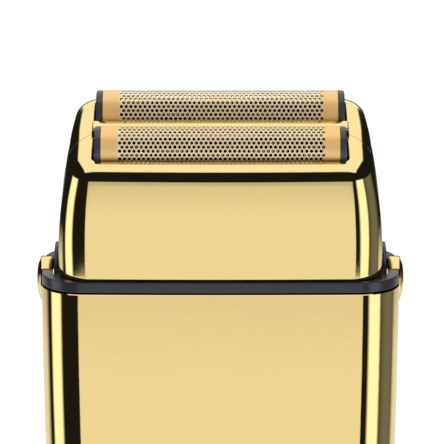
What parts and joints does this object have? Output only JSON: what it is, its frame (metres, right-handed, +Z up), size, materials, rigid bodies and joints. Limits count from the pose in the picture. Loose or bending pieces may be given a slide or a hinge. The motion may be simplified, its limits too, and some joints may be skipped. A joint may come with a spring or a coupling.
{
  "type": "foil shaver",
  "caption": "Twin-foil cordless shaver with a polished metal handle, a lift-off head cover, side release buttons and two floating foils.",
  "frame": {"origin": "middle of the flat base, at the surface that it stands on", "axes": "+Z up the handle to the foils, +X to the right across the width, -Y the front with the power slider"},
  "size_m": [0.066, 0.0286, 0.1495],
  "materials": {
    "gold": "mirror-polished gold plate on cast metal",
    "foil": "satin gold plated foil, perforated",
    "gloss_black": "gloss moulded plastic",
    "satin_black": "fine-grained moulded plastic",
    "seal_rubber": "soft matt rubber",
    "blade_steel": "ground blade steel",
    "steel": "bright spring and fastener steel",
    "zinc": "zinc plated motor can",
    "cell_wrap": "shrink film",
    "board_green": "solder mask over glass laminate",
    "lens": "clear moulded light lens",
    "wire_red": "wire insulation",
    "wire_black": "wire insulation"
  },
  "bodies": {
    "handle": {"front_shell": "gold", "rear_shell": "gold", "shoulder_band": "gloss_black", "button_bezel_left": "gloss_black", "button_bezel_right": "gloss_black", "slider_seat": "gloss_black", "base_cap": "satin_black", "drive_plate": "satin_black", "chassis": "satin_black", "motor_end_cap": "satin_black", "slide_switch": "satin_black", "charging_socket": "satin_black", "drive_seal": "seal_rubber", "drive_leaf_left": "steel", "drive_leaf_right": "steel", "latch_spring_left": "steel", "latch_spring_right": "steel", "plate_screw_left": "steel", "plate_screw_right": "steel", "base_screw_left": "steel", "base_screw_right": "steel", "socket_pin": "steel", "battery_tab_top": "steel", "battery_tab_bottom": "steel", "motor_can": "zinc", "battery_cell": "cell_wrap", "circuit_board": "board_green", "light_lens": "lens", "motor_lead_red": "wire_red", "cell_lead_red": "wire_red", "socket_lead_red": "wire_red", "motor_lead_black": "wire_black", "cell_lead_black": "wire_black", "socket_lead_black": "wire_black"},
    "cover": {"head_cover": "gold", "foil_frame": "satin_black", "head_catch_left": "steel", "head_catch_right": "steel"},
    "foil_front": {"foil_front": "foil", "foil_cap_front_left": "gloss_black", "foil_cap_front_right": "gloss_black"},
    "foil_rear": {"foil_rear": "foil", "foil_cap_rear_left": "gloss_black", "foil_cap_rear_right": "gloss_black"},
    "cutter_front": {"cutter_front": "blade_steel"},
    "cutter_rear": {"cutter_rear": "blade_steel"},
    "bridge": {"drive_bridge": "satin_black", "drive_post_front": "satin_black", "drive_post_rear": "satin_black", "cutter_spring_front": "steel", "cutter_spring_rear": "steel"},
    "rotor": {"motor_shaft": "steel", "drive_eccentric": "satin_black"},
    "release_left": {"release_button_left": "gold", "release_latch_left": "steel"},
    "release_right": {"release_button_right": "gold", "release_latch_right": "steel"},
    "slider": {"power_slider": "gold"}
  },
  "joints": [
    {"name": "head_lift", "type": "slide", "parent": "handle", "child": "cover", "axis": [0, 0, 1], "range_m": [0, 0.034]},
    {"name": "foil_front_float", "type": "slide", "parent": "cover", "child": "foil_front", "axis": [0, -0.342, 0.9397], "range_m": [-0.0012, 0], "stiffness_N_per_m": 400, "springref_m": 0.001, "deforming": ["cutter_spring_front"]},
    {"name": "foil_rear_float", "type": "slide", "parent": "cover", "child": "foil_rear", "axis": [0, -0.342, 0.9397], "range_m": [-0.0012, 0], "stiffness_N_per_m": 400, "springref_m": 0.001, "deforming": ["cutter_spring_rear"]},
    {"name": "bridge_oscillation", "type": "slide", "parent": "handle", "child": "bridge", "axis": [1, 0, 0], "range_m": [-0.0008, 0.0008], "stiffness_N_per_m": 800, "deforming": ["drive_leaf_left", "drive_leaf_right"]},
    {"name": "cutter_front_oscillation", "type": "slide", "parent": "foil_front", "child": "cutter_front", "axis": [1, 0, 0], "range_m": [-0.0008, 0.0008]},
    {"name": "cutter_rear_oscillation", "type": "slide", "parent": "foil_rear", "child": "cutter_rear", "axis": [1, 0, 0], "range_m": [-0.0008, 0.0008]},
    {"name": "motor_spin", "type": "hinge", "parent": "handle", "child": "rotor", "pos_m": [0, 0, 0.109], "axis": [0, 0, 1], "continuous": true},
    {"name": "release_left", "type": "slide", "parent": "handle", "child": "release_left", "axis": [1, 0, 0], "range_m": [0, 0.001], "stiffness_N_per_m": 600, "springref_m": -0.001, "deforming": ["latch_spring_left"]},
    {"name": "release_right", "type": "slide", "parent": "handle", "child": "release_right", "axis": [-1, 0, 0], "range_m": [0, 0.001], "stiffness_N_per_m": 600, "springref_m": -0.001, "deforming": ["latch_spring_right"]},
    {"name": "power_switch", "type": "slide", "parent": "handle", "child": "slider", "axis": [0, 0, 1], "range_m": [0, 0.004]}
  ],
  "couplings": [
    {"joint": "cutter_front_oscillation", "follows": "bridge_oscillation", "ratio": 1},
    {"joint": "cutter_rear_oscillation", "follows": "bridge_oscillation", "ratio": 1}
  ]
}
